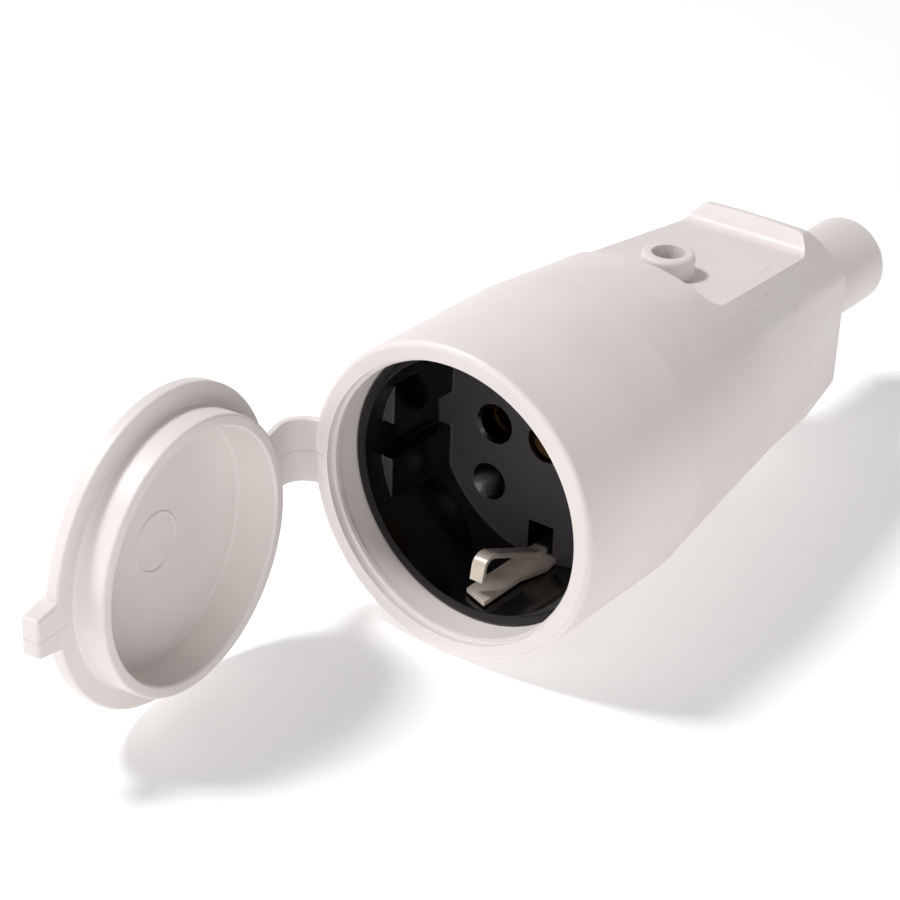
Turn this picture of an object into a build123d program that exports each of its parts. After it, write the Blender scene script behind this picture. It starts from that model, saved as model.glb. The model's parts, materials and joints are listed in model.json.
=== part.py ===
"""Earthed cord coupler: a white soft sleeve with a strapped lid, over a black contact insert.

The coupler lies along Y. Its mouth is at y = 0 and looks towards -Y, the cord leaves at +Y,
the thumb pad is on top at +Z, and the lid hangs open on its strap at -X. Sizes are millimetres.
"""

import math
import os

from build123d import *

os.makedirs("parts", exist_ok=True)

# Sleeve, outside
rim_diameter = 49.0
barrel_length = 27.9
body_length = 89.5
total_length = 114.7
neck_diameter = 15.3
rear_width = 26.6
rear_height = 36.0
rear_flat_width = 18.0
rear_side_height = 19.0
rear_shoulder_length = 7.2
rim_rounding = 0.9
neck_rounding = 0.8

# Thumb pad, its rib and its hollow boss
pad_height = 15.7
pad_width = 23.6
pad_front = 46.3
pad_corner = 4.0
rib_length = 4.0
rib_slope = 2.4
boss_diameter = 8.4
boss_bore = 5.3
boss_height = 5.2
boss_from_pad_front = 8.7
boss_rounding = 0.9

# Sleeve, inside
mouth_diameter = 42.5
lip_length = 2.0
lip_step = 0.4
sleeve_wall = 3.5
cord_bore = 9.5
seat_ledge = 1.8

# Contact carrier, the black insert
carrier_depth = 6.4
carrier_clearance = 0.2
recess_diameter = 39.6
recess_depth = 18.0
floor_thickness = 4.0
rib_gap = 34.8
rib_groove = 5.7
rib_setback = 3.6
pin_pitch = 19.0
pin_hole = 5.6
pin_countersink = 0.5
centre_hole = 6.4
centre_hole_depth = 2.6
blind_hole = 6.2
blind_hole_offset = 10.0
blind_hole_depth = 2.2
blind_hole_taper = 35.0

# Earth bow, one bent strip with a spring clip at each end
strip_thickness = 0.8
clip_width = 4.2
clip_arm_width = 2.6
clip_clearance = 0.2
clip_slot_outer = 19.6
clip_slot_inner = 13.7
clip_arm_height = 12.6
clip_tab = 3.4
clip_front = 2.6
bow_width = 6.0
bow_gap = 0.1
tongue_drop = 9.0
tongue_length = 15.0

# Contacts and terminals
pin_diameter = 4.8
pin_fit = 0.05
sleeve_thickness = 0.75
sleeve_length = 15.4
sleeve_slit = 0.8
terminal_width = 7.0
terminal_length = 7.0
terminal_height = 8.0
wire_hole = 3.0
terminal_screw = 3.0
earth_screw_length = 6.0
spring_thickness = 0.5
spring_length = 3.0
spring_gap = 0.05
contact_clearance = 0.15

# Carrier cover with its spine, centre screw, cord clamp and retaining screw
cover_thickness = 5.0
cover_radius = 16.8
spine_width = 8.4
spine_thickness = 4.0
spine_drop = 3.6
post_gap = 0.3
spine_end = 72.0
centre_screw = 3.5
centre_screw_head = 5.8
centre_screw_head_height = 1.6
clamp_length = 7.0
clamp_thickness = 3.0
clamp_gap = 9.0
clamp_screw = 2.6
clamp_screw_pitch = 12.4
clamp_width = 17.0
retaining_screw = 3.0
retaining_screw_head = 4.8
nut_width = 5.5
nut_thickness = 2.4
nut_floor = 0.5
screw_clearance = 0.2
screw_proud = 0.6
thread_gap = 0.05
screw_head_ratio = 1.75
screw_head_height = 1.8
screw_slot = 0.6

# Lid and strap
lid_inset = 1.1
lid_flange = 2.2
lid_collar_diameter = 40.4
lid_collar_wall = 1.9
lid_collar_height = 4.9
lid_floor_depth = 1.9
lid_floor_thickness = 1.3
lid_crown_diameter = 36.0
lid_rounding = 0.6
lid_gap = 0.3
lid_open_angle = 84.7
hinge_stand = 4.7
hinge_lead = 5.1
tab_width = 7.0
tab_reach = 6.6
strap_width = 10.4
strap_thickness = 1.2
strap_bulge = 2.6
strap_root = 0.9
strap_gap = 0.05

# Places that follow from the sizes above
rim_radius = rim_diameter / 2
lid_radius = rim_radius - lid_inset
hinge_offset = rim_radius + hinge_stand
carrier_radius = mouth_diameter / 2 + lip_step - carrier_clearance
recess_radius = recess_diameter / 2
floor_front = carrier_depth + recess_depth
floor_back = floor_front + floor_thickness
cover_back = floor_back + cover_thickness
chamber_top = pad_height - sleeve_wall
boss_y = pad_front + boss_from_pad_front
spine_top = chamber_top - spine_drop
spine_bottom = spine_top - spine_thickness
sleeve_bore = pin_diameter + 2 * pin_fit
sleeve_outside = sleeve_bore + 2 * sleeve_thickness
terminal_front = floor_back + sleeve_length
clamp_y = spine_end - clamp_length / 2
nut_bottom = spine_bottom + nut_floor
tongue_z = -tongue_drop
earth_screw_y = floor_back + tongue_length - bow_width / 2


def station(y):
    """The cross-section plane at y: sketch x points to the lid's side, sketch y points up."""
    return Plane((0, y, 0), x_dir=(-1, 0, 0), z_dir=(0, 1, 0))


def eight_corners(width, height, flat, side):
    """The corners of the rear end's eight-sided section, in turn."""
    quarter = [(flat / 2, height / 2), (width / 2, side / 2)]
    right = quarter + [(x, -z) for x, z in reversed(quarter)]
    return right + [(-x, -z) for x, z in right]


def inset(corners, wall):
    """The same section moved inwards by one wall on every side."""
    moved = []
    for before, corner, after in zip(corners[-1:] + corners[:-1], corners, corners[1:] + corners[:1]):
        first = (Vector(*corner) - Vector(*before)).normalized().rotate(Axis.Z, 90)
        second = (Vector(*after) - Vector(*corner)).normalized().rotate(Axis.Z, 90)
        shift = (first + second) * (-wall / (1 + first.dot(second)))
        moved.append((corner[0] + shift.X, corner[1] + shift.Y))
    return moved


def round_section(radius, corners):
    """A circle split at the angles of the given corners, so that a loft keeps its creases straight."""
    points = [Vector(*corner).normalized() * radius for corner in corners]
    with BuildLine() as outline:
        for here, there in zip(points, points[1:] + points[:1]):
            middle = (here + there).normalized() * radius
            ThreePointArc(here, middle, there)
    make_face(outline.edges())


def straight_section(corners):
    """A polygon through the given corners."""
    with BuildLine() as outline:
        Polyline(*corners, close=True)
    make_face(outline.edges())


def slotted_screw(place, shank, length, head, head_height):
    """A slotted cheese-head screw: its head stands on the plane and its shank goes down from it."""
    with BuildPart() as screw:
        with BuildSketch(place):
            Circle(head / 2)
        extrude(amount=head_height)
        with BuildSketch(place):
            Circle(shank / 2)
        extrude(amount=-length)
        with BuildSketch(place.offset(head_height)):
            Rectangle(head, screw_slot)
        extrude(amount=-head_height / 2, mode=Mode.SUBTRACT)
    return screw.part


rear_corners = eight_corners(rear_width, rear_height, rear_flat_width, rear_side_height)

# The chamber behind the carrier, where the wires and terminals are
with BuildPart() as chamber:
    chamber_rear = inset(rear_corners, sleeve_wall)
    with BuildSketch(station(floor_back)):
        round_section(carrier_radius - seat_ledge + carrier_clearance, chamber_rear)
    with BuildSketch(station(body_length - sleeve_wall)):
        straight_section(chamber_rear)
    loft(ruled=True)
    with BuildSketch(Plane.YZ):
        with Locations((pad_front - sleeve_wall, chamber_top)):
            Rectangle(body_length, rim_diameter, align=(Align.MIN, Align.MIN))
    extrude(amount=rim_diameter, both=True, mode=Mode.SUBTRACT)

# Sleeve: one soft moulding with barrel, taper, thumb pad, boss and cord neck
with BuildPart() as sleeve:
    with BuildSketch(station(0)):
        Circle(rim_radius)
    extrude(amount=barrel_length)
    fillet(sleeve.edges().filter_by(GeomType.CIRCLE).sort_by(Axis.Y)[0], rim_rounding)
    with BuildSketch(station(barrel_length)):
        round_section(rim_radius, rear_corners)
    with BuildSketch(station(body_length)):
        straight_section(rear_corners)
    loft(ruled=True)

    # The pad is a shallow pocket that ends in front of a raised rib
    rib_foot = body_length - rear_shoulder_length - rib_length
    with BuildSketch(Plane.XY.offset(pad_height)):
        with Locations((0, pad_front)):
            pocket = Rectangle(pad_width, rib_foot - pad_front, align=(Align.CENTER, Align.MIN))
        fillet(pocket.vertices().group_by(Axis.Y)[0], pad_corner)
    extrude(amount=rim_radius, mode=Mode.SUBTRACT)
    with BuildSketch(Plane.YZ):
        with BuildLine():
            Polyline(
                (rib_foot, pad_height),
                (rib_foot + rib_slope, rim_radius),
                (rib_foot, rim_radius),
                close=True,
            )
        make_face()
    extrude(amount=pad_width / 2, both=True, mode=Mode.SUBTRACT)

    # The shoulder slants from the rib down to the neck
    with BuildSketch(Plane.YZ):
        with BuildLine():
            Polyline(
                (body_length - rear_shoulder_length, rear_height / 2),
                (body_length, neck_diameter / 2),
                (total_length, neck_diameter / 2),
                (total_length, rim_radius),
                (body_length - rear_shoulder_length, rim_radius),
                close=True,
            )
        make_face()
    extrude(amount=rear_width, both=True, mode=Mode.SUBTRACT)
    with BuildSketch(station(body_length - sleeve_wall)):
        Circle(neck_diameter / 2)
    extrude(amount=total_length - body_length + sleeve_wall)
    fillet(sleeve.edges().filter_by(GeomType.CIRCLE).sort_by(Axis.Y)[-1], neck_rounding)

    with BuildSketch(Plane.XY.offset(pad_height - sleeve_wall / 2)):
        with Locations((0, boss_y)):
            Circle(boss_diameter / 2)
    extrude(amount=boss_height + sleeve_wall / 2)
    boss_top = sleeve.faces().filter_by(Axis.Z).sort_by(Axis.Z)[-1]
    fillet(boss_top.edges(), boss_rounding)

    # The mouth, the seat of the carrier, the wire chamber and the cord's way out
    with BuildSketch(station(0)):
        Circle(mouth_diameter / 2)
    extrude(amount=lip_length, mode=Mode.SUBTRACT)
    with BuildSketch(station(lip_length)):
        Circle(mouth_diameter / 2 + lip_step)
    extrude(amount=floor_back - lip_length, mode=Mode.SUBTRACT)
    add(chamber.part, mode=Mode.SUBTRACT)
    with BuildSketch(station(body_length - sleeve_wall)):
        Circle(cord_bore / 2)
    extrude(amount=total_length, mode=Mode.SUBTRACT)

    # The boss's bore takes the retaining screw, whose head lands on the pad's own wall
    with BuildSketch(Plane.XY.offset(pad_height - sleeve_wall / 2)):
        with Locations((0, boss_y)):
            Circle(boss_bore / 2)
    extrude(amount=rim_radius, mode=Mode.SUBTRACT)
    with BuildSketch(Plane.XY.offset(chamber_top)):
        with Locations((0, boss_y)):
            Circle(retaining_screw / 2 + screw_clearance)
    extrude(amount=sleeve_wall, mode=Mode.SUBTRACT)
sleeve.part.label = "housing"
export_step(sleeve.part, "parts/housing.step")

# Contact carrier: a black cup with guide ribs, pin holes and the slots of the earth clips
with BuildPart() as carrier:
    with BuildSketch(station(carrier_depth)):
        Circle(carrier_radius)
    extrude(amount=floor_back - carrier_depth)
    with BuildSketch(station(carrier_depth)):
        Circle(recess_radius)
    extrude(amount=recess_depth, mode=Mode.SUBTRACT)
    with BuildSketch(station(carrier_depth + rib_setback)):
        Circle((carrier_radius + recess_radius) / 2)
        Rectangle(rib_gap, rim_diameter, mode=Mode.SUBTRACT)
        Rectangle(rim_diameter, rib_groove, mode=Mode.SUBTRACT)
    extrude(amount=recess_depth - rib_setback)
    with BuildSketch(station(floor_front)):
        with GridLocations(pin_pitch, 0, 2, 1):
            Circle(pin_hole / 2)
        slot_middle = (clip_slot_inner + clip_slot_outer) / 2
        with GridLocations(0, 2 * slot_middle, 1, 2):
            Rectangle(clip_width + 2 * clip_clearance, clip_slot_outer - clip_slot_inner)
    extrude(amount=floor_thickness, mode=Mode.SUBTRACT)
    pin_mouths = carrier.edges().filter_by(GeomType.CIRCLE).filter_by(
        lambda edge: abs(edge.radius - pin_hole / 2) < 1e-6
    )
    chamfer(pin_mouths.group_by(Axis.Y)[0], pin_countersink)
    with BuildSketch(station(floor_front)):
        Circle(centre_hole / 2)
    extrude(amount=centre_hole_depth, mode=Mode.SUBTRACT)
    with BuildSketch(station(floor_front)):
        Circle(centre_screw / 2 + screw_clearance)
    extrude(amount=floor_thickness, mode=Mode.SUBTRACT)
    for side in (1, -1):
        blind = Plane(
            (-side * blind_hole_offset, floor_front, -side * blind_hole_offset),
            x_dir=(-1, 0, 0),
            z_dir=(0, 1, 0),
        )
        with BuildSketch(blind):
            Circle(blind_hole / 2)
        extrude(amount=blind_hole_depth, taper=blind_hole_taper, mode=Mode.SUBTRACT)
carrier.part.label = "contact_carrier"
export_step(carrier.part, "parts/contact_carrier.step")

# Earth bow: a bridge behind the carrier's floor, with a wall strip and a spring arm at each end
with BuildPart() as bow:
    bridge_y = floor_back + strip_thickness / 2
    arm_z = (clip_slot_inner + clip_slot_outer) / 2
    strip_z = clip_slot_outer - strip_thickness
    clip_front_y = carrier_depth + clip_front
    with BuildSketch(Plane.YZ):
        with BuildLine() as arm_line:
            FilletPolyline(
                (bridge_y, 0),
                (bridge_y, -arm_z),
                (floor_front - strip_thickness, -arm_z),
                (clip_front_y + 2 * strip_thickness, -clip_arm_height),
                (clip_front_y, -clip_arm_height - clip_tab),
                radius=strip_thickness,
            )
        trace(arm_line.line, strip_thickness)
        mirror(about=Plane.XZ)
    extrude(amount=clip_arm_width / 2, both=True)
    with BuildSketch(Plane.YZ):
        with BuildLine() as wall_line:
            FilletPolyline(
                (bridge_y, 0),
                (bridge_y, -strip_z),
                (clip_front_y, -strip_z),
                radius=strip_thickness,
            )
        trace(wall_line.line, strip_thickness)
        mirror(about=Plane.XZ)
    extrude(amount=clip_width / 2, both=True)
    with BuildSketch(station(floor_back)):
        Rectangle(bow_width, 2 * clip_slot_inner)
    extrude(amount=strip_thickness)
    with BuildSketch(Plane.XY.offset(tongue_z - strip_thickness / 2)):
        with Locations((0, floor_back)):
            Rectangle(bow_width, tongue_length, align=(Align.CENTER, Align.MIN))
        with Locations((0, earth_screw_y)):
            Circle(terminal_screw / 2 + thread_gap, mode=Mode.SUBTRACT)
    extrude(amount=strip_thickness)
    with BuildSketch(station(floor_back)):
        Circle(centre_screw / 2 + screw_clearance)
    extrude(amount=strip_thickness, mode=Mode.SUBTRACT)
bow.part.label = "earth_bow"
export_step(bow.part, "parts/earth_bow.step")

# Carrier cover: a plate behind the bow that holds the contacts, with a spine towards the cord
with BuildPart() as cover:
    with BuildSketch(station(floor_back)):
        Circle(cover_radius)
    extrude(amount=cover_thickness)
    with BuildSketch(station(floor_back)):
        Rectangle(bow_width + 2 * clip_clearance, rim_diameter)
    extrude(amount=strip_thickness + bow_gap, mode=Mode.SUBTRACT)
    with BuildSketch(Plane.XY.offset(spine_bottom)):
        with Locations((0, cover_back)):
            Rectangle(spine_width, spine_end - cover_back, align=(Align.CENTER, Align.MIN))
        with Locations((0, clamp_y)):
            Rectangle(clamp_width, clamp_length)
    extrude(amount=spine_thickness)
    with BuildSketch(Plane.XY.offset(spine_bottom)):
        with Locations((0, boss_y)):
            Circle(spine_width / 2)
    extrude(amount=chamber_top - post_gap - spine_bottom)
    with BuildSketch(station(floor_back)):
        with GridLocations(pin_pitch, 0, 2, 1):
            Circle(sleeve_outside / 2 + contact_clearance)
        Circle(centre_screw / 2 + thread_gap)
        with Locations((0, tongue_z)):
            Rectangle(bow_width + 2 * clip_clearance, strip_thickness + 2 * clip_clearance)
    extrude(amount=cover_thickness, mode=Mode.SUBTRACT)

    # The retaining screw's way in, and the pocket of its nut, open to one side
    with BuildSketch(Plane.XY.offset(spine_bottom)):
        with Locations((0, boss_y)):
            Circle(retaining_screw / 2 + screw_clearance)
    extrude(amount=chamber_top, mode=Mode.SUBTRACT)
    with BuildSketch(Plane.XY.offset(nut_bottom - thread_gap)):
        with Locations((-nut_width / 2 - thread_gap, boss_y)):
            Rectangle(rim_diameter, nut_width + 2 * thread_gap, align=(Align.MIN, Align.CENTER))
    extrude(amount=nut_thickness + 2 * thread_gap, mode=Mode.SUBTRACT)
    with BuildSketch(Plane.XY.offset(spine_bottom)):
        with Locations((0, clamp_y)):
            with GridLocations(clamp_screw_pitch, 0, 2, 1):
                Circle(clamp_screw / 2 + thread_gap)
    extrude(amount=spine_thickness, mode=Mode.SUBTRACT)
cover.part.label = "carrier_cover"
export_step(cover.part, "parts/carrier_cover.step")

# Contacts: a slit sleeve for the plug's pin, pressed on a screw terminal, one on each side
for side, name in ((-1, "line"), (1, "neutral")):
    pin_line = Plane((side * pin_pitch / 2, floor_back, 0), x_dir=(-1, 0, 0), z_dir=(0, 1, 0))
    with BuildPart() as contact:
        with BuildSketch(pin_line):
            Circle(sleeve_outside / 2)
            Circle(sleeve_bore / 2, mode=Mode.SUBTRACT)
        extrude(amount=sleeve_length)
        with BuildSketch(pin_line):
            Rectangle(sleeve_slit, sleeve_outside)
        extrude(amount=sleeve_length - sleeve_thickness, mode=Mode.SUBTRACT)
    contact.part.label = f"{name}_contact"
    export_step(contact.part, f"parts/{name}_contact.step")

    terminal_top = Plane(
        (side * pin_pitch / 2, terminal_front + terminal_length / 2, terminal_height / 2)
    )
    with BuildPart() as terminal:
        with BuildSketch(pin_line.offset(sleeve_length)):
            Rectangle(terminal_width, terminal_height)
        extrude(amount=terminal_length)
        with BuildSketch(pin_line.offset(sleeve_length)):
            with Locations((0, -terminal_height / 2 + wire_hole)):
                Circle(wire_hole / 2)
        extrude(amount=terminal_length, mode=Mode.SUBTRACT)
        with BuildSketch(terminal_top):
            Circle(terminal_screw / 2 + thread_gap)
        extrude(amount=wire_hole - terminal_height - thread_gap, mode=Mode.SUBTRACT)
    terminal.part.label = f"{name}_terminal"
    export_step(terminal.part, f"parts/{name}_terminal.step")

    # A spring ring keeps the sleeve tight on the pin
    with BuildPart() as ring:
        with BuildSketch(pin_line.offset(cover_thickness + spring_length)):
            Circle(sleeve_outside / 2 + spring_gap + spring_thickness)
            Circle(sleeve_outside / 2 + spring_gap, mode=Mode.SUBTRACT)
        extrude(amount=spring_length)
        with BuildSketch(pin_line.offset(cover_thickness + spring_length)):
            with Locations((0, -sleeve_outside / 2)):
                Rectangle(spring_length / 2, sleeve_outside / 2)
        extrude(amount=spring_length, mode=Mode.SUBTRACT)
    ring.part.label = f"{name}_contact_spring"
    export_step(ring.part, f"parts/{name}_contact_spring.step")

    screw = slotted_screw(
        terminal_top.offset(screw_proud),
        terminal_screw,
        screw_proud + terminal_height - wire_hole,
        terminal_screw * screw_head_ratio,
        screw_head_height,
    )
    screw.label = f"{name}_terminal_screw"
    export_step(screw, f"parts/{name}_terminal_screw.step")

# Earth terminal: a square plate under a screw on the bow's tongue
earth_under = Plane((0, earth_screw_y, tongue_z - strip_thickness / 2), z_dir=(0, 0, -1))
with BuildPart() as plate:
    with BuildSketch(earth_under):
        Rectangle(bow_width, bow_width)
        Circle(terminal_screw / 2 + screw_clearance, mode=Mode.SUBTRACT)
    extrude(amount=strip_thickness)
plate.part.label = "earth_clamp_plate"
export_step(plate.part, "parts/earth_clamp_plate.step")

earth_screw = slotted_screw(
    earth_under.offset(strip_thickness),
    terminal_screw,
    earth_screw_length,
    terminal_screw * screw_head_ratio,
    screw_head_height,
)
earth_screw.label = "earth_terminal_screw"
export_step(earth_screw, "parts/earth_terminal_screw.step")

# Centre screw: holds carrier, bow and cover together, and shows at the bottom of the recess
centre = slotted_screw(
    Plane((0, floor_front + centre_hole_depth, 0), x_dir=(1, 0, 0), z_dir=(0, -1, 0)),
    centre_screw,
    cover_back - floor_front - centre_hole_depth,
    centre_screw_head,
    centre_screw_head_height,
)
centre.label = "centre_screw"
export_step(centre, "parts/centre_screw.step")

# Cord clamp: a saddle below the spine, drawn up by two screws beside the cord
clamp_top = spine_bottom - clamp_gap
with BuildPart() as clamp:
    with BuildSketch(Plane.XY.offset(clamp_top)):
        with Locations((0, clamp_y)):
            Rectangle(clamp_width, clamp_length)
            with GridLocations(clamp_screw_pitch, 0, 2, 1):
                Circle(clamp_screw / 2 + screw_clearance, mode=Mode.SUBTRACT)
    extrude(amount=-clamp_thickness)
    with BuildSketch(station(clamp_y - clamp_length / 2)):
        with Locations((0, clamp_top + cord_bore / 2 - clamp_thickness / 2)):
            Circle(cord_bore / 2)
    extrude(amount=clamp_length, mode=Mode.SUBTRACT)
clamp.part.label = "cord_clamp"
export_step(clamp.part, "parts/cord_clamp.step")

clamp_screws = []
for side in (-1, 1):
    under = Plane(
        (side * clamp_screw_pitch / 2, clamp_y, clamp_top - clamp_thickness), z_dir=(0, 0, -1)
    )
    clamp_screws.append(
        slotted_screw(
            under,
            clamp_screw,
            clamp_thickness + clamp_gap + spine_thickness - thread_gap,
            clamp_screw * screw_head_ratio,
            screw_head_height,
        )
    )
both_clamp_screws = Compound(label="cord_clamp_screws", children=clamp_screws)
export_step(both_clamp_screws, "parts/cord_clamp_screws.step")

# Retaining screw in the boss, and the square nut that it draws up inside the spine
retaining = slotted_screw(
    Plane((0, boss_y, pad_height - sleeve_wall / 2)),
    retaining_screw,
    pad_height - sleeve_wall / 2 - nut_bottom,
    retaining_screw_head,
    screw_head_height,
)
retaining.label = "retaining_screw"
export_step(retaining, "parts/retaining_screw.step")

with BuildPart() as nut:
    with BuildSketch(Plane.XY.offset(nut_bottom)):
        with Locations((0, boss_y)):
            Rectangle(nut_width, nut_width)
            Circle(retaining_screw / 2 + thread_gap, mode=Mode.SUBTRACT)
    extrude(amount=nut_thickness)
nut.part.label = "retaining_nut"
export_step(nut.part, "parts/retaining_nut.step")

# Lid, shown open: its own frame turns about the strap's hinge line
turn = math.radians(lid_open_angle)
lid_normal = Vector(math.sin(turn), math.cos(turn), 0)
to_hinge = Vector(-math.cos(turn), math.sin(turn), 0)
hinge = Vector(-hinge_offset, -hinge_lead, 0)
lid_centre = hinge - to_hinge * hinge_offset + lid_normal * (hinge_lead - lid_gap)
lid_plane = Plane(lid_centre, x_dir=to_hinge, z_dir=lid_normal)
lid_section = Plane(lid_centre, x_dir=to_hinge, z_dir=(0, 0, -1))

with BuildPart() as lid:
    collar_radius = lid_collar_diameter / 2
    cup_radius = collar_radius - lid_collar_wall
    crown = lid_floor_depth + lid_floor_thickness
    with BuildSketch(lid_section):
        with BuildLine():
            Polyline(
                (0, -lid_floor_depth),
                (cup_radius, -lid_floor_depth),
                (cup_radius, lid_collar_height),
                (collar_radius, lid_collar_height),
                (collar_radius, 0),
                (lid_radius, 0),
                (lid_radius, -lid_flange),
                (lid_crown_diameter / 2, -lid_flange),
                (lid_crown_diameter / 2 - crown + lid_flange, -crown),
                (0, -crown),
                close=True,
            )
        make_face()
    revolve(axis=Axis(lid_centre, lid_normal))
    with BuildSketch(lid_plane.offset(-lid_flange)):
        tab_length = lid_radius - collar_radius + tab_reach
        with Locations((-collar_radius, 0)):
            Rectangle(tab_length, tab_width, align=(Align.MAX, Align.CENTER))
    extrude(amount=lid_flange)
    lid_rims = lid.edges().filter_by(GeomType.CIRCLE).filter_by(
        lambda edge: abs(lid_plane.to_local_coords(edge.center()).Z - lid_collar_height) < 1e-6
    )
    fillet(lid_rims, lid_rounding)
lid.part.label = "lid"
export_step(lid.part, "parts/lid.step")

# Strap: a thin band from the sleeve's rim to the lid's edge, bowed where the lid hangs open
with BuildPart() as strap:
    root = Vector(-rim_radius + strap_thickness, strap_root, 0)
    lid_edge = lid_centre + to_hinge * (lid_radius - strap_thickness)
    lid_edge = lid_edge - lid_normal * (lid_flange - strap_thickness / 2)
    outwards = (lid_edge - root).normalized().rotate(Axis.Z, -90)
    with BuildSketch(Plane.XY.offset(-strap_width / 2)):
        with BuildLine() as band:
            ThreePointArc(root, (root + lid_edge) / 2 + outwards * strap_bulge, lid_edge)
        trace(band.line, strap_thickness)
    extrude(amount=strap_width)
    with BuildSketch(station(0)):
        Circle(rim_radius + strap_gap)
    extrude(amount=rim_diameter, mode=Mode.SUBTRACT)
    with BuildSketch(lid_plane.offset(-rim_diameter)):
        Circle(lid_radius + strap_gap)
    extrude(amount=2 * rim_diameter, mode=Mode.SUBTRACT)
strap.part.label = "hinge_strap"
export_step(strap.part, "parts/hinge_strap.step")
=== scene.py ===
"""An earthed cord coupler: a white soft sleeve with a lid on a strap, round a black contact insert.

The coupler lies along Y with its mouth at y = 0, and its lid hangs open at -X. The pieces come in the
order in which they go together, from the insert outwards.
"""

import json
import math

import bmesh
import bpy
from mathutils import Matrix, Vector


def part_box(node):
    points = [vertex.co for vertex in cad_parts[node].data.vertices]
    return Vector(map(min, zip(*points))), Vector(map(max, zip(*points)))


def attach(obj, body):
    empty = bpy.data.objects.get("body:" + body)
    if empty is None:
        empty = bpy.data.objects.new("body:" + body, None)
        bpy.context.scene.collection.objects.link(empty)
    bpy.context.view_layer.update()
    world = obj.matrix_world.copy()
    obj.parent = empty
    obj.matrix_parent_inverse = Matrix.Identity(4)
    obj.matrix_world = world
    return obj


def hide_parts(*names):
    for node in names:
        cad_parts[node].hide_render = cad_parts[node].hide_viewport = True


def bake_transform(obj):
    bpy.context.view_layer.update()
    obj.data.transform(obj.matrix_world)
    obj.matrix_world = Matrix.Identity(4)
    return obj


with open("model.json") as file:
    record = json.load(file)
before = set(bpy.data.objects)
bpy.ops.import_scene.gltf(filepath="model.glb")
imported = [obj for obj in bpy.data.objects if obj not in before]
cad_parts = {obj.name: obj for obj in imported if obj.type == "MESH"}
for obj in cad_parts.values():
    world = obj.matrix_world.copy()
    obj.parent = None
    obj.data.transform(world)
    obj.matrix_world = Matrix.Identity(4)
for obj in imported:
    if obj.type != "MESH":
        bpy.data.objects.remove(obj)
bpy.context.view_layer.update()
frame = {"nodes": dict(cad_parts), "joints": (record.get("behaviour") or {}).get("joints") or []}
nodes = frame["nodes"]

# Contact carrier
# The black cup that takes the plug's round body, moulded in hard glossy plastic. It is pushed into the
# sleeve from the front and sits on a ledge there, with the pin holes and earth slots in its floor.
MM = 0.001
NEAR = 0.01 * MM
ALONG_Y = (-math.pi / 2, 0, 0)
carrier_low, carrier_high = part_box("contact_carrier")
carrier_radius = carrier_high.x
carrier_front = carrier_low.y
carrier_back = carrier_high.y
recess_radius = 19.8 * MM
recess_floor = carrier_front + 18.0 * MM
guide_gap = 34.8 * MM
guide_groove = 5.7 * MM
guide_front = carrier_front + 3.6 * MM
guide_radius = (carrier_radius + recess_radius) / 2
pin_pitch = 19.0 * MM
pin_hole_radius = 2.8 * MM
pin_countersink = 0.5 * MM
centre_hole_radius = 3.2 * MM
centre_hole_depth = 2.6 * MM
blind_hole_radius = 3.1 * MM
blind_hole_offset = 10.0 * MM
blind_hole_depth = 2.6 * MM
earth_slot_inner = 13.7 * MM
earth_slot_outer = 19.6 * MM
earth_slot_width = 4.6 * MM
earth_slot_web = 0.6 * MM
cutter_start = 0.3 * MM
carrier_screw_radius = 1.95 * MM
carrier_edge = 0.25 * MM
floor_rounding = 0.3 * MM
grain_slack = 0.1 * MM


def fresh(add, name, **settings):
    """Adds one primitive with nothing else selected, and keeps its place in its mesh."""
    bpy.ops.object.select_all(action="DESELECT")
    add(**settings)
    piece = bpy.context.object
    piece.name = name
    piece.data.name = name
    bpy.ops.object.transform_apply()
    return piece


def rod(name, radius, start, end, x=0.0, z=0.0, sides=64, far_radius=None):
    """A closed round bar along Y, which may narrow to another radius at its far end."""
    return fresh(
        bpy.ops.mesh.primitive_cone_add,
        name,
        vertices=sides,
        radius1=radius,
        radius2=radius if far_radius is None else far_radius,
        depth=end - start,
        location=(x, (start + end) / 2, z),
        rotation=ALONG_Y,
    )


def block(name, low, high):
    """A closed box between two corners."""
    low = Vector(low)
    high = Vector(high)
    return fresh(
        bpy.ops.mesh.primitive_cube_add, name, size=1, location=(low + high) / 2, scale=high - low
    )


def edit(piece, kind="FACE"):
    """Opens a piece in edit mode with nothing selected."""
    bpy.ops.object.select_all(action="DESELECT")
    piece.select_set(True)
    bpy.context.view_layer.objects.active = piece
    bpy.ops.object.mode_set(mode="EDIT")
    bpy.ops.mesh.select_mode(type=kind)
    bpy.ops.mesh.select_all(action="DESELECT")


def pick_faces(piece, test):
    """In edit mode, selects just the faces whose middle and normal pass the test."""
    bpy.ops.mesh.select_mode(type="FACE")
    bpy.ops.mesh.select_all(action="DESELECT")
    shape = bmesh.from_edit_mesh(piece.data)
    for face in shape.faces:
        face.select_set(test(face.calc_center_median(), face.normal))
    bmesh.update_edit_mesh(piece.data)


def push(x=0.0, y=0.0, z=0.0):
    """Extrudes what is selected in edit mode by this much."""
    bpy.ops.mesh.extrude_region_move(TRANSFORM_OT_translate={"value": (x, y, z)})


def done():
    """Leaves edit mode."""
    bpy.ops.object.mode_set(mode="OBJECT")


def trim(piece, point, keep):
    """Cuts a closed piece flat through a point, and keeps the side that the direction points to."""
    edit(piece)
    bpy.ops.mesh.select_all(action="SELECT")
    bpy.ops.mesh.bisect(
        plane_co=point, plane_no=keep, use_fill=True, clear_inner=True, threshold=NEAR / 100
    )
    done()


def settle(piece, kind, **settings):
    """Adds a modifier and applies it."""
    change = piece.modifiers.new(kind.lower(), kind)
    for name, value in settings.items():
        setattr(change, name, value)
    bpy.context.view_layer.objects.active = piece
    bpy.ops.object.modifier_apply(modifier=change.name)


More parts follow.
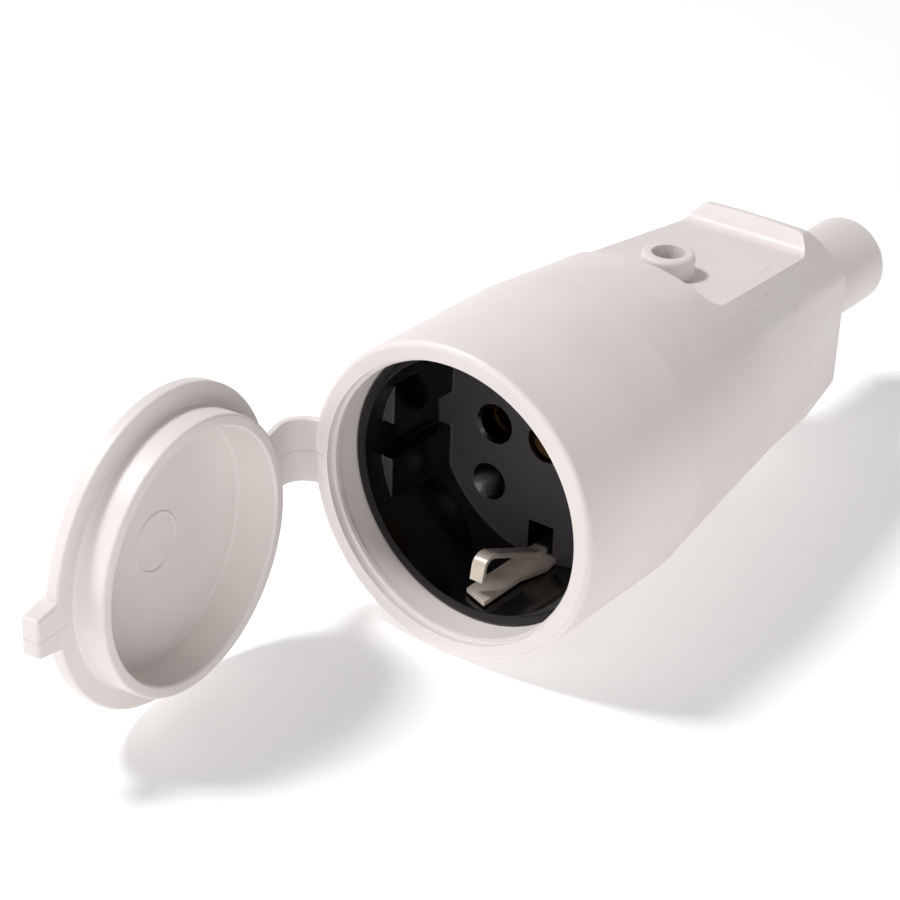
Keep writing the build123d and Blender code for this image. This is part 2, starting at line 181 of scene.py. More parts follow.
def cut(piece, tool, operation="DIFFERENCE"):
    """Takes the tool's shape away from a piece, or joins it on, and removes the tool."""
    settle(piece, "BOOLEAN", object=tool, operation=operation, solver="MANIFOLD")
    mesh = tool.data
    bpy.data.objects.remove(tool)
    bpy.data.meshes.remove(mesh)


def clean(piece, distance):
    """Merges points that lie closer together than this."""
    edit(piece, "VERT")
    bpy.ops.mesh.select_all(action="SELECT")
    bpy.ops.mesh.remove_doubles(threshold=distance)
    done()


def soften(piece, width, segments=3, angle=30):
    """Rounds the edges that turn by more than an angle."""
    settle(
        piece,
        "BEVEL",
        width=width,
        segments=segments,
        limit_method="ANGLE",
        angle_limit=math.radians(angle),
        use_clamp_overlap=False,
    )


def smooth(piece, angle=38):
    """Shades a piece smooth, apart from the edges that turn by more than an angle."""
    bpy.ops.object.select_all(action="DESELECT")
    piece.select_set(True)
    bpy.context.view_layer.objects.active = piece
    bpy.ops.object.shade_smooth_by_angle(angle=math.radians(angle))
    settle(piece, "WEIGHTED_NORMAL", keep_sharp=True)


def dress(piece, material, slot, body, *replaced):
    """Gives a new piece its finish and its body, and says which solids it stands for."""
    piece.data.materials.clear()
    piece.data.materials.append(material)
    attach(piece, body)
    if replaced:
        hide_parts(*replaced)


class Socket:
    """One socket of a material's nodes. Python's operators on it add Math nodes."""

    def __init__(self, tree, socket):
        self.tree = tree
        self.socket = socket

    def node(self, kind, settings, sockets, output=0):
        """Adds a node of that kind: its settings first, then the values or links of its sockets."""
        made = self.tree.nodes.new(kind)
        for name, value in settings.items():
            setattr(made, name, value)
        for name, value in sockets.items():
            if isinstance(value, Socket):
                self.tree.links.new(value.socket, made.inputs[name])
            else:
                made.inputs[name].default_value = value
        return Socket(self.tree, made.outputs[output])

    def maths(self, operation, *values):
        """Adds a Math node on these values."""
        return self.node("ShaderNodeMath", {"operation": operation}, dict(enumerate(values)))

    def __add__(self, other):
        return self.maths("ADD", self, other)

    __radd__ = __add__

    def __sub__(self, other):
        return self.maths("SUBTRACT", self, other)

    def __rsub__(self, other):
        return self.maths("SUBTRACT", other, self)

    def __mul__(self, other):
        return self.maths("MULTIPLY", self, other)

    __rmul__ = __mul__

    def __gt__(self, other):
        return self.maths("GREATER_THAN", self, other)

    def __lt__(self, other):
        return self.maths("LESS_THAN", self, other)

    def axis(self, name):
        """One coordinate of a vector: X, Y or Z."""
        return self.node("ShaderNodeSeparateXYZ", {}, {"Vector": self}, output=name)

    def stretched(self, x, y, z):
        """The same coordinates, scaled by these on their axes."""
        return self.node("ShaderNodeMapping", {}, {"Vector": self, "Scale": (x, y, z)})

    def noise(self, scale, detail=2.0, roughness=0.5):
        """Cloudy noise at these coordinates, about 0.5 in the middle."""
        return self.node(
            "ShaderNodeTexNoise",
            {},
            {"Vector": self, "Scale": scale, "Detail": detail, "Roughness": roughness},
        )

    def ramp(self, low, high, start=0.0, end=1.0):
        """This value's range from low to high, drawn smoothly to start to end."""
        return self.node(
            "ShaderNodeMapRange",
            {"interpolation_type": "SMOOTHSTEP"},
            {"Value": self, "From Min": low, "From Max": high, "To Min": start, "To Max": end},
        )

    def between(self, first, second):
        """A colour mixed from two others by this value."""
        return self.node(
            "ShaderNodeMix", {"data_type": "RGBA"}, {0: self, 6: first, 7: second}, output=2
        )

    def bump(self, strength, distance):
        """A normal that this height bends."""
        return self.node(
            "ShaderNodeBump", {}, {"Height": self, "Strength": strength, "Distance": distance}
        )


def finish(name, **constants):
    """A new material: itself, its shader and the coordinates of the piece that it is on."""
    material = bpy.data.materials.new(name)
    material.use_nodes = True
    tree = material.node_tree
    shader = tree.nodes["Principled BSDF"]
    for socket, value in constants.items():
        shader.inputs[socket.replace("_", " ")].default_value = value
    place = Socket(tree, tree.nodes.new("ShaderNodeTexCoord").outputs["Object"])
    return material, shader, place


def feed(shader, **values):
    """Links values that change over the surface to the shader's sockets."""
    for socket, value in values.items():
        value.tree.links.new(value.socket, shader.inputs[socket.replace("_", " ")])


def linear(red, green, blue):
    """A colour as a screen shows it, from 0 to 255, as the shader's own numbers."""
    parts = [part / 255 for part in (red, green, blue)]
    return (*(part / 12.92 if part < 0.04 else ((part + 0.055) / 1.055) ** 2.4 for part in parts), 1.0)


insert_black, insert_shader, place = finish("insert_black", IOR=1.5, Coat_Weight=0.0)
depth = place.axis("Y")
sideways, upright = place.axis("X"), place.axis("Z")
on_floor = (depth > recess_floor - floor_rounding) * (depth < recess_floor + grain_slack)
off_wall = sideways * sideways + upright * upright < (recess_radius - grain_slack) ** 2
grained = on_floor + off_wall * (depth < guide_front + grain_slack / 2)
speckle = place.noise(scale=5200, detail=3).ramp(0.35, 0.75)
glossy_black = linear(5, 5, 6)
grain_dark, grain_pale = linear(54, 51, 56), linear(76, 72, 78)
gloss = place.noise(scale=160, detail=3).ramp(0.3, 0.7, start=0.12, end=0.2)
feed(
    insert_shader,
    Base_Color=grained.between(glossy_black, speckle.between(grain_dark, grain_pale)),
    Roughness=grained * 0.34 + gloss,
    Normal=(on_floor * speckle).bump(strength=0.35, distance=0.03 * MM),
)

carrier = rod("contact_insert", carrier_radius, carrier_front, carrier_back, sides=144)
edit(carrier)
pick_faces(carrier, lambda middle, normal: normal.y < -0.9)
bpy.ops.mesh.inset(thickness=carrier_radius - recess_radius)
push(y=recess_floor - carrier_front)
done()
for side_x in (-1, 1):
    for side_z in (-1, 1):
        guide = rod("guide", guide_radius, guide_front, recess_floor + MM, sides=144)
        trim(guide, (side_x * guide_gap / 2, 0, 0), (side_x, 0, 0))
        trim(guide, (0, 0, side_z * guide_groove / 2), (0, 0, side_z))
        cut(carrier, guide, "UNION")
clean(carrier, NEAR)
soften(carrier, carrier_edge, segments=2)
for side in (-1, 1):
    pin_x = side * pin_pitch / 2
    cut(carrier, rod("pin_hole", pin_hole_radius, recess_floor - MM, carrier_back + MM, x=pin_x))
    sink_end = recess_floor + pin_hole_radius + pin_countersink
    sink_start = recess_floor - cutter_start
    cut(carrier, rod("sink", sink_end - sink_start, sink_start, sink_end, x=pin_x, far_radius=0))
    offset = -side * blind_hole_offset
    dimple_end = recess_floor + blind_hole_depth
    dimple_radius = blind_hole_radius * (1 + cutter_start / blind_hole_depth)
    cut(carrier, rod("dimple", dimple_radius, sink_start, dimple_end, offset, offset, far_radius=0))
    slot_z = sorted((side * earth_slot_inner, side * earth_slot_outer))
    slot_low = (-earth_slot_width / 2, recess_floor - MM, slot_z[0])
    slot_high = (earth_slot_width / 2, carrier_back - earth_slot_web, slot_z[1])
    cut(carrier, block("earth_slot", slot_low, slot_high))
cut(carrier, rod("centre_hole", centre_hole_radius, recess_floor - MM, recess_floor + centre_hole_depth))
cut(carrier, rod("screw_way", carrier_screw_radius, recess_floor, carrier_back + MM))
smooth(carrier)
dress(carrier, insert_black, "black_insert", "coupler", "contact_carrier")

# Earth bow
# One strip of nickel plated spring bronze, bent into a bridge behind the insert's floor. Each end comes
# forward through its slot as a flat wall strip and a springy arm with a turned-down tip.
strip_thickness = 0.8 * MM
bow_width = 6.0 * MM
bridge_y = carrier_back + strip_thickness / 2
arm_width = 2.3 * MM
arm_foot = -18.2 * MM
arm_rise_from = 23.0 * MM
arm_rise = 0.25 * MM
arm_crest = 10.6 * MM
arm_nose = 8.9 * MM
arm_nose_drop = 0.7 * MM
arm_tip = 8.4 * MM
arm_bend = 0.7 * MM
lower_arm_height = -12.7 * MM
upper_arm_height = -15.6 * MM
tip_drop = 3.6 * MM
wall_z = -19.0 * MM
wall_front = 7.3 * MM
wall_corner = 1.6 * MM
wall_half_width = 2.2 * MM
wall_flare = 3.6 * MM
wall_flare_from = 16.5 * MM
wall_flare_to = 21.5 * MM
strip_edge = 0.12 * MM
# Where the painted shade on the strip starts and where it is full, along Y.
painted_shade_start = recess_floor - 0.2 * MM
painted_shade_end = recess_floor + 0.8 * MM

nickel, nickel_shader, place = finish("nickel_plate", Metallic=0.3)
worn = place.noise(scale=380, detail=4).ramp(0.35, 0.75)
plating_bright, plating_worn, painted_shade_dark = linear(232, 221, 208), linear(210, 195, 178), linear(30, 28, 26)
# Painted shade: behind the insert's floor the strip's colour turns near black, standing in for the shade
# deep in the slots.
painted_shade = place.axis("Y").ramp(painted_shade_start, painted_shade_end)
feed(
    nickel_shader,
    Base_Color=painted_shade.between(worn.between(plating_bright, plating_worn), painted_shade_dark),
    Roughness=worn * 0.14 + 0.3,
    Normal=place.stretched(9, 1, 1).noise(scale=420, detail=3).bump(strength=0.12, distance=0.02 * MM),
)


def pick_edges(piece, test):
    """In edit mode, selects just the edges whose two ends pass the test."""
    bpy.ops.mesh.select_mode(type="EDGE")
    bpy.ops.mesh.select_all(action="DESELECT")
    shape = bmesh.from_edit_mesh(piece.data)
    for edge in shape.edges:
        edge.select_set(test(edge.verts[0].co, edge.verts[1].co))
    bmesh.update_edit_mesh(piece.data)


def strip(name, width, line, bend):
    """A flat strip that follows a line of (y, z) points, with rounded bends and one thickness."""
    ribbon = fresh(
        bpy.ops.mesh.primitive_plane_add, name, size=width, location=(0, line[0][0], line[0][1] + width / 2)
    )
    edit(ribbon)
    pick_edges(ribbon, lambda a, b: abs(a.y - b.y) < NEAR and a.y > line[0][0])
    bpy.ops.mesh.select_all(action="INVERT")
    bpy.ops.mesh.delete(type="EDGE")
    bpy.ops.mesh.select_all(action="SELECT")
    bpy.ops.transform.translate(value=(0, -width / 2, -width / 2))
    for here, there in zip(line, line[1:]):
        bpy.ops.mesh.extrude_edges_move(
            TRANSFORM_OT_translate={"value": (0, there[0] - here[0], there[1] - here[1])}
        )
    pick_edges(
        ribbon,
        lambda a, b: abs(a.x - b.x) > width / 2
        and any(abs(a.y - y) + abs(a.z - z) < NEAR for y, z in line[1:-1]),
    )
    bpy.ops.mesh.bevel(offset=bend, segments=4)
    done()
    settle(ribbon, "SOLIDIFY", thickness=strip_thickness, offset=0.0, use_even_offset=True)
    return ribbon


bow = block(
    "earth_strip",
    (-bow_width / 2, carrier_back, -earth_slot_inner),
    (bow_width / 2, carrier_back + strip_thickness, earth_slot_inner),
)
for side in (-1, 1):
    height = lower_arm_height if side < 0 else upper_arm_height
    tip_z = max(height - tip_drop, wall_z + strip_thickness)
    arm_line = [(bridge_y, 0.0), (bridge_y, arm_foot), (arm_rise_from, arm_foot + arm_rise)]
    arm_line += [(arm_crest, height), (arm_nose, height - arm_nose_drop), (arm_tip, tip_z)]
    arm = strip("arm", arm_width, arm_line, arm_bend)
    wall = block(
        "wall_strip",
        (-wall_half_width, wall_front, wall_z - strip_thickness / 2),
        (wall_half_width, carrier_back + strip_thickness, wall_z + strip_thickness / 2),
    )
    edit(wall)
    for station in (wall_flare_from, wall_flare_to):
        bpy.ops.mesh.select_all(action="SELECT")
        bpy.ops.mesh.bisect(plane_co=(0, station, 0), plane_no=(0, 1, 0), threshold=NEAR / 100)
    shape = bmesh.from_edit_mesh(wall.data)
    for point in shape.verts:
        if point.co.x > 0 and point.co.y > wall_flare_to - NEAR:
            point.co.x = wall_flare if point.co.y < recess_floor else earth_slot_width / 2
        if point.co.x < 0 and point.co.y < wall_front + NEAR:
            point.co.y += wall_corner
    bmesh.update_edit_mesh(wall.data)
    done()
    back = block(
        "riser",
        (-arm_width / 2, carrier_back, wall_z),
        (arm_width / 2, carrier_back + strip_thickness, -earth_slot_inner + MM),
    )
    for part in (arm, wall, back):
        if side > 0:
            part.data.transform(Matrix.Rotation(math.pi, 4, "Y"))
        cut(bow, part, "UNION")
clean(bow, NEAR / 2)
soften(bow, strip_edge, segments=2)
smooth(bow)
dress(bow, nickel, "nickel_plated", "coupler", "earth_bow")

# Contacts and terminals
# Slit brass sleeves grip the plug's pins, with a steel ring round each and a brass screw terminal behind.
# The earth wire goes under a plate on the bow, and one screw in the middle holds the insert together.
brass, brass_shader, place = finish("turned_brass", Metallic=1.0)
tarnish = place.noise(scale=260, detail=4).ramp(0.35, 0.7)
feed(
    brass_shader,
    Base_Color=tarnish.between(linear(112, 84, 50), linear(70, 50, 30)),
    Roughness=tarnish * 0.2 + 0.34,
    Normal=place.stretched(1, 14, 1).noise(scale=300).bump(strength=0.15, distance=0.02 * MM),
)
steel, steel_shader, place = finish("plated_steel", Metallic=1.0)
dulled = place.noise(scale=420, detail=4).ramp(0.3, 0.75)
feed(
    steel_shader,
    Base_Color=dulled.between(linear(206, 206, 210), linear(150, 150, 156)),
    Roughness=dulled * 0.2 + 0.28,
    Normal=place.noise(scale=1900).bump(strength=0.1, distance=0.02 * MM),
)


def coat(material, *names):
    """Gives the part's own solids a finish."""
    for name in names:
        nodes[name].data.materials.clear()
        nodes[name].data.materials.append(material)


coat(brass, "line_contact", "neutral_contact", "line_terminal", "neutral_terminal", "centre_screw")
coat(steel, "line_contact_spring", "neutral_contact_spring")
coat(steel, "line_terminal_screw", "neutral_terminal_screw", "earth_clamp_plate", "earth_terminal_screw")
coat(steel, "cord_clamp_screws", "retaining_screw", "retaining_nut")

# Carrier cover and cord clamp
# The black plate behind the contacts, whose spine reaches back to the saddle that grips the cord. Both are
# plain mouldings of the insert's plastic, hidden in the sleeve.
cover_black, cover_shader, place = finish("cover_black", IOR=1.5)
grain = place.noise(scale=1500, detail=3)
feed(
    cover_shader,
    Base_Color=grain.between(linear(22, 22, 24), linear(34, 34, 37)),
    Roughness=grain.ramp(0.3, 0.7, start=0.36, end=0.5),
    Normal=grain.bump(strength=0.2, distance=0.03 * MM),
)
coat(cover_black, "carrier_cover", "cord_clamp")

# Sleeve
# One moulding of soft white plastic that is pulled over the insert: a round barrel, a taper that turns
# eight-sided towards the rear, a thumb pad with a hollow boss and a rib, and the neck for the cord.
sleeve_low, sleeve_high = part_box("housing")
rim_radius = sleeve_high.x
neck_end = sleeve_high.y
barrel_end = 27.9 * MM
body_end = 89.5 * MM
rear_half_width = 13.3 * MM
rear_half_height = 18.0 * MM
rear_half_flat = 9.0 * MM
rear_half_side = 9.5 * MM
rim_rounding = 0.9 * MM
rear_rounding = 0.8 * MM
crease_length = 0.4 * MM
crease_window = 3
crease_step = math.radians(0.7)
neck_radius = 7.65 * MM
neck_rounding = 0.8 * MM
cord_bore_radius = 4.75 * MM
shoulder_start = Vector((82.3 * MM, rear_half_height))
shoulder_end = Vector((body_end, neck_radius))
shoulder_bulge = 0.8 * MM
shoulder_cuts = 6
pad_height = 15.7 * MM
pad_front_height = 18.1 * MM
pad_half_width = 13.3 * MM
pad_front = 46.0 * MM
pad_corner = 4.0 * MM
rib_foot = 78.3 * MM
rib_slope = 1.5 * MM
rib_fillet = 1.4 * MM
boss_y = 55.0 * MM
boss_radius = 4.2 * MM
boss_bore_radius = 2.65 * MM
boss_top = 20.9 * MM
boss_rounding = 0.8 * MM
screw_seat = pad_height - 1.75 * MM
screw_way_radius = 1.7 * MM
screw_way_below = 6.0 * MM
screw_way_above = 2.0 * MM
mouth_start = -5.0 * MM
mouth_radius = 21.25 * MM
mouth_step = 0.55 * MM
mouth_step_depth = 1.3 * MM
lip_end = 2.0 * MM
seat_radius = 21.65 * MM
chamber_radius = 19.8 * MM
chamber_waist = 42.8 * MM
chamber_waist_width = 0.82
chamber_waist_height = 0.6
chamber_end = 86.0 * MM
chamber_end_width = 0.6
sleeve_edge = 0.12 * MM
scuff_front, scuff_full, scuff_fade, scuff_rear = 36 * MM, 55 * MM, 78 * MM, 86 * MM
scuff_side = 9.0 * MM
seam_half_width = 0.1 * MM
tab_seam_rear = -55.0 * MM
tab_seam_height = -1.5 * MM
side_seam_edge = -22.2 * MM
side_seam_front, side_seam_fade, side_seam_rear = -12 * MM, 15 * MM, 34 * MM


def rear_point(angle):
    """The point of the eight-sided rear end that the barrel's point at this angle runs to."""
    corner_low = Vector((rear_half_width, rear_half_side))
    corner_high = Vector((rear_half_flat, rear_half_height))
    x, z = math.cos(angle), math.sin(angle)
    turn = math.atan2(abs(z), abs(x))
    turn_low = math.atan2(corner_low.y, corner_low.x)
    turn_high = math.atan2(corner_high.y, corner_high.x)
    if turn < turn_low:
        found = Vector((rear_half_width, rear_half_side * turn / turn_low))
    elif turn < turn_high:
        found = corner_low.lerp(corner_high, (turn - turn_low) / (turn_high - turn_low))
    else:
        half_pi = math.pi / 2
        found = Vector((rear_half_flat * (half_pi - turn) / (half_pi - turn_high), rear_half_height))
    return Vector((math.copysign(found.x, x), math.copysign(found.y, z)))


def rounded_rear_point(angle):
    """The same, averaged over a few near angles, which rounds the corners."""
    steps = range(-crease_window, crease_window + 1)
    near = [rear_point(angle + step * crease_step) for step in steps]
    return sum(near, Vector((0, 0))) / len(near)


def fillet_depth(distance, radius):
    """How far a rounded edge of this radius draws in at a distance from the end face."""
    inside = min(max(radius - distance, 0), radius)
    return radius - math.sqrt(radius * radius - inside * inside)


rim_stations = [rim_rounding * (1 - math.cos(step * math.pi / 12)) for step in range(1, 7)]
taper_stations = [barrel_end - crease_length, barrel_end, barrel_end + crease_length]
taper_stations += [barrel_end + share * (body_end - barrel_end) / 9 for share in range(1, 9)]
rear_stations = [body_end - rear_rounding * (1 - math.sin(step * math.pi / 12)) for step in range(0, 6)]
sleeve = rod("soft_sleeve", rim_radius, 0, rim_stations[0], sides=192)
edit(sleeve)
pick_faces(sleeve, lambda middle, normal: normal.y > 0.9)
reached = rim_stations[0]
for station in (*rim_stations[1:], *taper_stations, *rear_stations, body_end):
    push(y=station - reached)
    reached = station
done()
for point in sleeve.data.vertices:
    y = point.co.y
    section = Vector((point.co.x, point.co.z))
    if y > barrel_end:
        angle = math.atan2(section.y, section.x)
        section = section.lerp(rounded_rear_point(angle), (y - barrel_end) / (body_end - barrel_end))
    drawn_in = fillet_depth(y, rim_rounding) + fillet_depth(body_end - y, rear_rounding)
    section *= 1 - drawn_in / section.length
    point.co.x, point.co.z = section

chord = shoulder_end - shoulder_start
outwards = Vector((-chord.y, chord.x)).normalized() * shoulder_bulge
shoulder = []
for step in range(shoulder_cuts + 1):
    share = step / shoulder_cuts
    shoulder.append(shoulder_start + chord * share + outwards * 4 * share * (1 - share))
for here, there in zip(shoulder, shoulder[1:]):
    slope = there - here
    trim(sleeve, (0, here.x, here.y), (0, slope.y, -slope.x))

soften(sleeve, sleeve_edge)

neck = rod("neck", neck_radius, chamber_end - MM, neck_end, sides=128)
edit(neck)
pick_edges(neck, lambda a, b: min(a.y, b.y) > neck_end - NEAR)
bpy.ops.mesh.bevel(offset=neck_rounding, segments=5)
done()
cut(sleeve, neck, "UNION")

pocket_top = rim_radius + MM
pocket = block("pocket", (-pad_half_width, pad_front, pad_height), (pad_half_width, rib_foot, pocket_top))
edit(pocket)
pick_edges(pocket, lambda a, b: min(a.y, b.y) > rib_foot - NEAR and min(a.z, b.z) > rim_radius)
bpy.ops.transform.translate(
    value=(0, rib_slope * (pocket_top - pad_height) / (rear_half_height - pad_height), 0)
)
pick_edges(pocket, lambda a, b: max(a.y, b.y) < pad_front + NEAR and max(a.z, b.z) < pad_height + MM)
bpy.ops.transform.translate(value=(0, 0, pad_front_height - pad_height))
pick_edges(pocket, lambda a, b: min(a.y, b.y) > pad_front + MM and max(a.z, b.z) < pad_height + MM)
bpy.ops.mesh.bevel(offset=rib_fillet, segments=6, clamp_overlap=False)
pick_edges(pocket, lambda a, b: max(a.y, b.y) < pad_front + NEAR and abs(a.z - b.z) > MM)
bpy.ops.mesh.bevel(offset=pad_corner, segments=12, clamp_overlap=False)
done()
cut(sleeve, pocket)


def post(name, radius, bottom, top, sides):
    """A closed round bar that stands upright where the boss is."""
    return fresh(
        bpy.ops.mesh.primitive_cylinder_add,
        name,
        vertices=sides,
        radius=radius,
        depth=top - bottom,
        location=(0, boss_y, (bottom + top) / 2),
    )


boss = post("boss", boss_radius, screw_seat, boss_top, sides=72)
edit(boss)
pick_edges(boss, lambda a, b: min(a.z, b.z) > boss_top - NEAR)
bpy.ops.mesh.bevel(offset=boss_rounding, segments=5)
done()
cut(sleeve, boss, "UNION")
cut(sleeve, post("boss_bore", boss_bore_radius, screw_seat, boss_top + MM, sides=64))
cut(sleeve, rod("mouth", mouth_radius, mouth_start, lip_end + MM, sides=160))
cut(sleeve, rod("mouth_step", mouth_radius + mouth_step, mouth_start, mouth_step_depth, sides=160))
cut(sleeve, rod("seat", seat_radius, lip_end, carrier_back, sides=156))

chamber = rod("chamber", chamber_radius, carrier_back - MM, carrier_back + MM, sides=64)
edit(chamber)
pick_faces(chamber, lambda middle, normal: normal.y > 0.9)
push(y=chamber_waist - carrier_back - MM)
bpy.ops.transform.resize(value=(chamber_waist_width, 1, chamber_waist_height))
push(y=chamber_end - chamber_waist)
bpy.ops.transform.resize(value=(chamber_end_width, 1, 1))
done()
cut(sleeve, chamber)
cut(sleeve, rod("cord_way", cord_bore_radius, chamber_end - MM, neck_end + MM))
screw_way_bottom, screw_way_top = screw_seat - screw_way_below, screw_seat + screw_way_above
cut(sleeve, post("screw_way", screw_way_radius, screw_way_bottom, screw_way_top, sides=32))
smooth(sleeve, angle=24)

soft_white, white_shader, place = finish("soft_white", IOR=1.46)
white_pale, white_dull, scuff_grey = linear(234, 227, 224), linear(230, 222, 219), linear(176, 168, 164)
across, along, upright = place.axis("X"), place.axis("Y"), place.axis("Z")
cloud = place.noise(scale=60, detail=3).ramp(0.3, 0.7)
grain = place.noise(scale=2400)
handled = along.ramp(scuff_front, scuff_full) * along.ramp(scuff_fade, scuff_rear, start=1, end=0)
streaks = place.stretched(1.5, 0.14, 2.2).noise(scale=1100, detail=3).ramp(0.6, 0.7)
scuff = handled * (across > scuff_side) * streaks * 0.22
from_tab_seam = upright - tab_seam_height
tab_seam = (along < tab_seam_rear) * (from_tab_seam * from_tab_seam < seam_half_width**2)
on_side = (across < side_seam_edge) * (along > side_seam_front)
side_seam = on_side * along.ramp(side_seam_fade, side_seam_rear, start=1, end=0)
seam = tab_seam + side_seam * (upright * upright < seam_half_width**2)
sheen = place.noise(scale=210, detail=3).ramp(0.3, 0.7, start=0.4, end=0.5)
feed(
    white_shader,
    Base_Color=(scuff + seam * 0.35).between(cloud.between(white_pale, white_dull), scuff_grey),
    Roughness=sheen + scuff * 0.2,
    Normal=(grain - scuff + seam * 5).bump(strength=0.08, distance=0.03 * MM),
)
dress(sleeve, soft_white, "white_sleeve", "coupler", "housing")

# Lid
# A round cap of the sleeve's own plastic: a flange with a pull tab, and a collar that plugs the mouth when
# it is shut. It hangs on the strap, so it is modelled flat on its own axis and then set in its open place.
hinge = frame["joints"][0]
hinge_point = Vector(hinge["pos_m"])
open_angle = math.radians(hinge["range_deg"][1])
lid_radius = rim_radius - 1.1 * MM
lid_flange = 2.2 * MM
lid_gap = 0.3 * MM
collar_radius = 20.2 * MM
collar_wall = 1.9 * MM
collar_height = 4.9 * MM
lid_floor_depth = 1.9 * MM
crown_radius = 18.0 * MM
crown_height = 1.0 * MM
crown_taper = 0.94
tab_root_half_width = 4.0 * MM
tab_tip_half_width = 2.9 * MM
tab_droop = 1.1 * MM
tab_reach = 3.8 * MM
tab_step = 0.05 * MM
tab_overhang = 0.8 * MM
ring_radius = 4.35 * MM
ring_thickness = 0.45 * MM
ring_place = (-0.5 * MM, 0.3 * MM, -lid_floor_depth)
lid_edge = 0.45 * MM

lid = fresh(
    bpy.ops.mesh.primitive_cylinder_add,
    "strap_lid",
    vertices=176,
    radius=lid_radius,
    depth=lid_flange,
    location=(0, 0, -lid_flange / 2),
)
edit(lid)
pick_faces(lid, lambda middle, normal: normal.z > 0.9)
bpy.ops.mesh.inset(thickness=lid_radius - collar_radius)
push(z=collar_height)
bpy.ops.mesh.inset(thickness=collar_wall)
push(z=-collar_height - lid_floor_depth)
pick_faces(lid, lambda middle, normal: normal.z < -0.9 and middle.z < -lid_flange / 2)
bpy.ops.mesh.inset(thickness=lid_radius - crown_radius)
push(z=-crown_height)
bpy.ops.transform.resize(value=(crown_taper, crown_taper, 1))
done()
soften(lid, lid_edge, segments=4)
tab_low = (-lid_radius - tab_reach, -tab_root_half_width - tab_droop, -lid_flange - tab_overhang)
tab = block("tab", tab_low, (-collar_radius - MM, tab_root_half_width - tab_droop, -tab_step))
edit(tab)
pick_faces(tab, lambda middle, normal: normal.x < -0.9)
bpy.ops.transform.resize(value=(1, tab_tip_half_width / tab_root_half_width, 1))
done()
soften(tab, lid_edge, segments=4)
cut(lid, tab, "UNION")
ring = fresh(
    bpy.ops.mesh.primitive_torus_add,
    "ring",
    major_radius=ring_radius,
    minor_radius=ring_thickness / 2,
    major_segments=72,
    minor_segments=10,
    location=ring_place,
)
cut(lid, ring, "UNION")
smooth(lid)
to_hinge = Vector((-math.cos(open_angle), math.sin(open_angle), 0))
inside = Vector((math.sin(open_angle), math.cos(open_angle), 0))
lid_centre = hinge_point + to_hinge * hinge_point.x + inside * (-hinge_point.y - lid_gap)
swing = Matrix((to_hinge, inside.cross(to_hinge), inside)).transposed().to_4x4()
lid.data.transform(Matrix.Translation(lid_centre) @ swing)
dress(lid, soft_white, "white_sleeve", "lid", "lid")

# Strap
# A band of the same soft plastic from the sleeve's rim to the lid, moulded with both, which bends as their
# hinge. It is bowed outwards while the lid hangs open.
strap_width = 10.4 * MM
strap_thickness = 1.2 * MM
strap_bend = 4.3 * MM
strap_steps = 20
strap_edge = 0.3 * MM
strap_root_y = 0.9 * MM
strap_root = Vector((-rim_radius + strap_thickness, strap_root_y, 0))
strap_tip = lid_centre + to_hinge * (lid_radius - strap_thickness)
strap_tip -= inside * (lid_flange - strap_thickness / 2)
bend_centre = strap_root - Vector((0, strap_bend, 0))
to_tip = strap_tip - bend_centre
bend_end = math.atan2(to_tip.y, to_tip.x) % (2 * math.pi) - math.acos(strap_bend / to_tip.length)
bend_end_point = bend_centre + Vector((math.cos(bend_end), math.sin(bend_end), 0)) * strap_bend
strap = fresh(bpy.ops.mesh.primitive_plane_add, "hinge_band", size=1)
for point in strap.data.vertices:
    point.co = strap_root + Vector((0, point.co.x * strap_thickness, point.co.y * strap_width))
edit(strap)
bpy.ops.mesh.select_all(action="SELECT")
bpy.ops.mesh.spin(steps=strap_steps, angle=bend_end - math.pi / 2, center=bend_centre, axis=(0, 0, -1))
push(*(strap_tip - bend_end_point))
bpy.ops.mesh.select_all(action="SELECT")
bpy.ops.mesh.remove_doubles(threshold=NEAR)
bpy.ops.mesh.normals_make_consistent(inside=False)
done()
soften(strap, strap_edge, segments=3, angle=50)
smooth(strap)
strap.data.materials.append(soft_white)
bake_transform(strap)
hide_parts("hinge_strap")

# Floor, light and camera
# A plain white sheet under an even sky, a soft lamp high on the left, a weaker one low in front, and the
# camera where the photograph was taken from.
floor_size = 6.0
floor_height = sleeve_low.z - 0.02 * MM
glow_near, glow_far = (0.3, 0.3, 0.3, 1), (0.72, 0.72, 0.72, 1)
glow_from, glow_to = 0.4, 1.4
floor = fresh(bpy.ops.mesh.primitive_plane_add, "floor", size=floor_size, location=(0, 0, floor_height))
paper, paper_shader, place = finish("floor_paper", Roughness=0.9, Emission_Strength=1.0)
across, along = place.axis("X"), place.axis("Y")
distant = (across * across + along * along).ramp(glow_from**2, glow_to**2)
feed(
    paper_shader,
    Base_Color=place.noise(scale=3).between(linear(246, 246, 246), linear(243, 243, 243)),
    Emission_Color=distant.between(glow_near, glow_far),
)
floor.data.materials.append(paper)

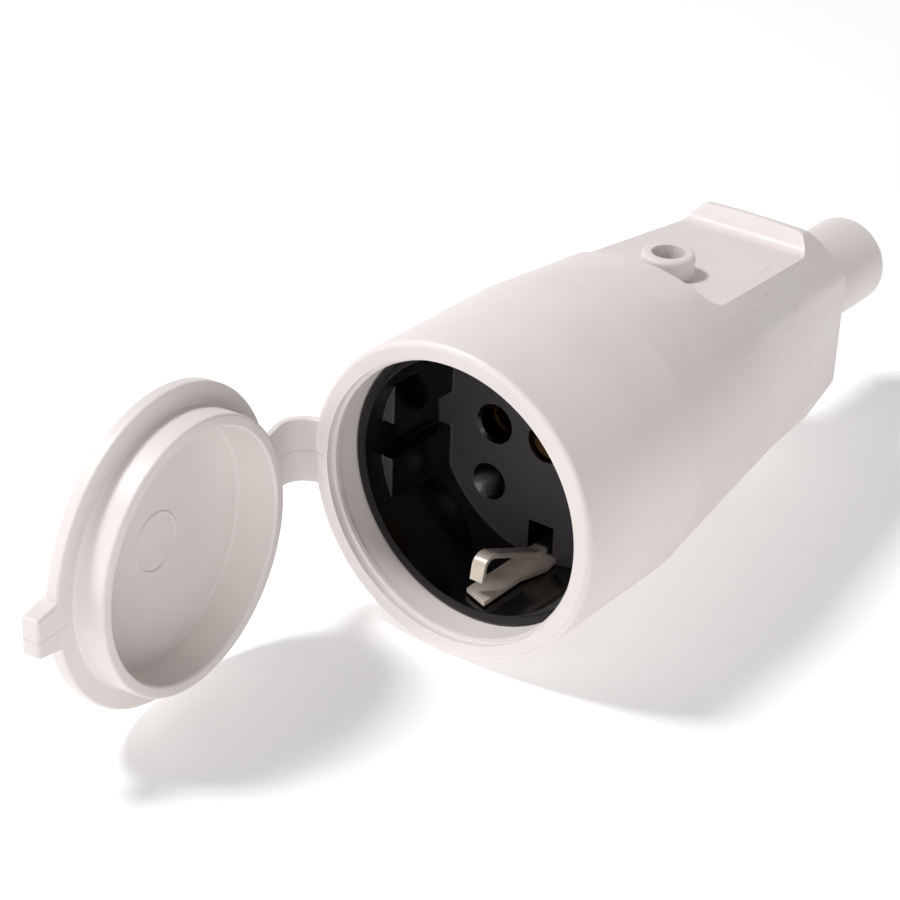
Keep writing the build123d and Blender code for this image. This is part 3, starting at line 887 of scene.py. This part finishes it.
horizon_light, zenith_light = 0.8, 0.12
zenith_from = 0.8
world = bpy.data.worlds.new("studio")
bpy.context.scene.world = world
world.use_nodes = True
sky = world.node_tree
sky_light = sky.nodes["Background"]
sky_light.inputs["Color"].default_value = (1.0, 0.985, 0.98, 1)
rays = sky.nodes.new("ShaderNodeLightPath")
seen = Socket(sky, rays.outputs["Is Camera Ray"])
for ray in ("Is Glossy Ray", "Is Transmission Ray"):
    seen = seen.maths("MAXIMUM", seen, Socket(sky, rays.outputs[ray]))
upwards = Socket(sky, sky.nodes.new("ShaderNodeTexCoord").outputs["Generated"]).axis("Z")
dome = upwards.ramp(0.0, zenith_from, start=horizon_light, end=zenith_light)
sky.links.new((seen + (1 - seen) * dome).socket, sky_light.inputs["Strength"])


def lamp(name, spot, aim, size, power, colour):
    """A square soft lamp that shines from one point towards another."""
    light = bpy.data.lights.new(name, "AREA")
    light.size = size
    light.energy = power
    light.color = colour
    holder = bpy.data.objects.new(name, light)
    bpy.context.scene.collection.objects.link(holder)
    holder.location = spot
    holder.rotation_euler = (Vector(aim) - Vector(spot)).to_track_quat("-Z", "Y").to_euler()


cool_white, warm_white = (0.98, 0.98, 1.0), (1.0, 0.98, 0.97)
lamp("key", spot=(-0.45, -0.25, 0.82), aim=(0, 0.03, 0), size=0.2, power=6.9, colour=cool_white)
lamp("front", spot=(0.38, -0.8, 0.24), aim=(0, 0, 0), size=0.5, power=1.7, colour=warm_white)

camera_azimuth = math.radians(36.06)
camera_elevation = math.radians(28.19)
camera_roll = math.radians(2.28)
camera_distance = 351.3 * MM
camera_aim = Vector((-2.0, 3.1, 6.9)) * MM
sensor = 36.0
camera_focal_pixels = 2491.0
photo_pixels = 900.0
camera = bpy.data.cameras.new("camera")
camera.sensor_width = sensor
camera.lens = camera_focal_pixels / photo_pixels * sensor
camera_holder = bpy.data.objects.new("camera", camera)
bpy.context.scene.collection.objects.link(camera_holder)
turn = Matrix.Rotation(camera_azimuth, 4, "Z") @ Matrix.Rotation(math.pi / 2 - camera_elevation, 4, "X")
turn = turn @ Matrix.Rotation(camera_roll, 4, "Z")
backwards = turn.to_3x3() @ Vector((0, 0, 1))
camera_holder.matrix_world = Matrix.Translation(camera_aim + backwards * camera_distance) @ turn
bpy.context.scene.camera = camera_holder
bpy.context.scene.view_settings.view_transform = "Standard"
